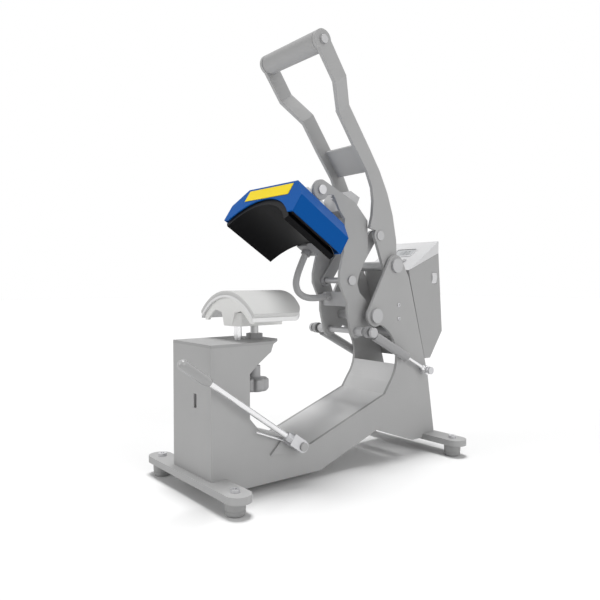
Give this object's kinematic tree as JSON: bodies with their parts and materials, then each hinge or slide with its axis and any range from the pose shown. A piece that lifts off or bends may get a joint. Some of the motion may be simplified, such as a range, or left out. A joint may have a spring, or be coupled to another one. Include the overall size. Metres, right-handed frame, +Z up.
{
  "type": "cap heat press",
  "caption": "Swing-open cap heat press with a curved heating head on a toggle lever, a curved lower platen, gas struts, foot bars and a rear control unit.",
  "frame": {"origin": "middle of the footprint, on the bench", "axes": "+X is the operator's right, -Y is the front where the operator stands, +Z is up"},
  "size_m": [0.262, 0.5405, 0.678],
  "materials": {
    "frame_paint": "satin",
    "cover_paint": "satin",
    "case_paint": "satin",
    "panel_plastic": "satin",
    "dark_glass": "gloss",
    "black_plastic": "matte",
    "grip_plastic": "gloss",
    "circuit_board": "satin",
    "foot_rubber": "matte",
    "zinc_steel": "satin",
    "bright_chrome": "polished",
    "white_bracket": "satin",
    "silicone_pad": "matte",
    "platen_aluminium": "satin",
    "blue_paint": "gloss",
    "coated_platen": "matte",
    "heater_mat": "matte",
    "wool_insulation": "matte",
    "yellow_plate": "gloss",
    "hose_sleeve": "matte",
    "grip_foam": "matte",
    "strut_paint": "gloss"
  },
  "bodies": {
    "frame": {"left_side_plate": "frame_paint", "right_side_plate": "frame_paint", "tower_front_plate": "frame_paint", "neck_cover": "cover_paint", "table_plate": "frame_paint", "front_foot_bar": "frame_paint", "rear_foot_bar": "frame_paint", "rubber_feet": "foot_rubber", "foot_bolts": "zinc_steel", "frame_spacers": "zinc_steel", "control_case": "case_paint", "control_panel": "panel_plastic", "display_window": "dark_glass", "power_inlet": "black_plastic", "control_board": "circuit_board", "lever_shaft": "zinc_steel", "arm_shaft": "zinc_steel", "strut_studs": "zinc_steel", "post_collar": "zinc_steel", "lower_pad": "silicone_pad", "lower_platen_shell": "platen_aluminium", "lower_bracket": "white_bracket", "guide_post": "bright_chrome", "threaded_post": "zinc_steel", "hold_down_bracket": "frame_paint"},
    "arm": {"left_arm_plate": "frame_paint", "right_arm_plate": "frame_paint", "arm_spacers": "zinc_steel", "head_bracket": "white_bracket", "head_pin": "zinc_steel", "head_cover": "blue_paint", "heat_platen": "coated_platen", "heater_element": "heater_mat", "head_insulation": "wool_insulation", "label_plate": "yellow_plate", "head_terminal_box": "black_plastic", "supply_hose": "hose_sleeve", "hose_gland": "black_plastic", "lower_link_pin": "zinc_steel"},
    "lever": {"left_lever_bar": "frame_paint", "right_lever_bar": "frame_paint", "lever_cross_plate": "frame_paint", "handle_grip": "grip_foam", "grip_bolts": "zinc_steel", "upper_link_pin": "zinc_steel"},
    "links": {"toggle_links": "zinc_steel"},
    "hold_down_lever": {"hold_down_rod": "bright_chrome", "hold_down_grip": "grip_plastic", "hold_down_fork": "zinc_steel", "hold_down_hook": "bright_chrome"},
    "clamp_knob_body": {"clamp_knob": "black_plastic"},
    "pressure_screw_body": {"pressure_screw": "bright_chrome"},
    "button_set_body": {"button_set": "black_plastic"},
    "button_up_body": {"button_up": "black_plastic"},
    "button_down_body": {"button_down": "black_plastic"},
    "power_switch_body": {"power_switch": "panel_plastic"},
    "left_rod": {"left_strut_rod": "bright_chrome"},
    "left_cylinder": {"left_strut_cylinder": "strut_paint"},
    "right_rod": {"right_strut_rod": "bright_chrome"},
    "right_cylinder": {"right_strut_cylinder": "strut_paint"}
  },
  "joints": [
    {"name": "arm_hinge", "type": "hinge", "parent": "frame", "child": "arm", "pos_m": [0, 0.098, 0.245], "axis": [1, 0, 0], "range_deg": [0, 33]},
    {"name": "lever_hinge", "type": "hinge", "parent": "frame", "child": "lever", "pos_m": [0, 0.146, 0.329], "axis": [1, 0, 0], "range_deg": [0, 39.61]},
    {"name": "link_hinge", "type": "hinge", "parent": "lever", "child": "links", "pos_m": [0, 0.1158, 0.3792], "axis": [1, 0, 0], "range_deg": [-39.97, 0]},
    {"name": "left_strut_swing", "type": "hinge", "parent": "frame", "child": "left_rod", "pos_m": [-0.065, 0.214, 0.146], "axis": [1, 0, 0], "range_deg": [0, 0.72]},
    {"name": "left_strut_slide", "type": "slide", "parent": "left_rod", "child": "left_cylinder", "axis": [0, 0.8868, -0.4621], "range_m": [0, 0.02051]},
    {"name": "right_strut_swing", "type": "hinge", "parent": "frame", "child": "right_rod", "pos_m": [0.065, 0.214, 0.146], "axis": [1, 0, 0], "range_deg": [0, 0.72]},
    {"name": "right_strut_slide", "type": "slide", "parent": "right_rod", "child": "right_cylinder", "axis": [0, 0.8868, -0.4621], "range_m": [0, 0.02051]},
    {"name": "hold_down_hinge", "type": "hinge", "parent": "frame", "child": "hold_down_lever", "pos_m": [0.071, -0.073, 0.06], "axis": [1, 0, 0], "range_deg": [-15, 15]},
    {"name": "clamp_knob_turn", "type": "hinge", "parent": "frame", "child": "clamp_knob_body", "pos_m": [0, -0.107, 0.144], "axis": [0, 0, 1], "continuous": true},
    {"name": "pressure_screw_turn", "type": "hinge", "parent": "arm", "child": "pressure_screw_body", "pos_m": [0, 0.06975, 0.43818], "axis": [0, 0.9092, -0.4163], "continuous": true},
    {"name": "button_set_press", "type": "slide", "parent": "frame", "child": "button_set_body", "axis": [0, 0.5643, -0.8256], "range_m": [0, 0.0015], "stiffness_N_per_m": 400},
    {"name": "button_up_press", "type": "slide", "parent": "frame", "child": "button_up_body", "axis": [0, 0.5643, -0.8256], "range_m": [0, 0.0015], "stiffness_N_per_m": 400},
    {"name": "button_down_press", "type": "slide", "parent": "frame", "child": "button_down_body", "axis": [0, 0.5643, -0.8256], "range_m": [0, 0.0015], "stiffness_N_per_m": 400},
    {"name": "power_switch_rock", "type": "hinge", "parent": "frame", "child": "power_switch_body", "pos_m": [0.053, 0.246, 0.308], "axis": [0, -1, 0], "range_deg": [0, 8]}
  ],
  "couplings": [
    {"joint": "lever_hinge", "follows": "arm_hinge", "ratio": 1.2},
    {"joint": "link_hinge", "follows": "arm_hinge", "ratio": -1.211},
    {"joint": "left_strut_swing", "follows": "arm_hinge", "ratio": 0.0215},
    {"joint": "left_strut_slide", "follows": "arm_hinge", "m_per_rad": 0.0356},
    {"joint": "right_strut_swing", "follows": "arm_hinge", "ratio": 0.0215},
    {"joint": "right_strut_slide", "follows": "arm_hinge", "m_per_rad": 0.0356}
  ]
}
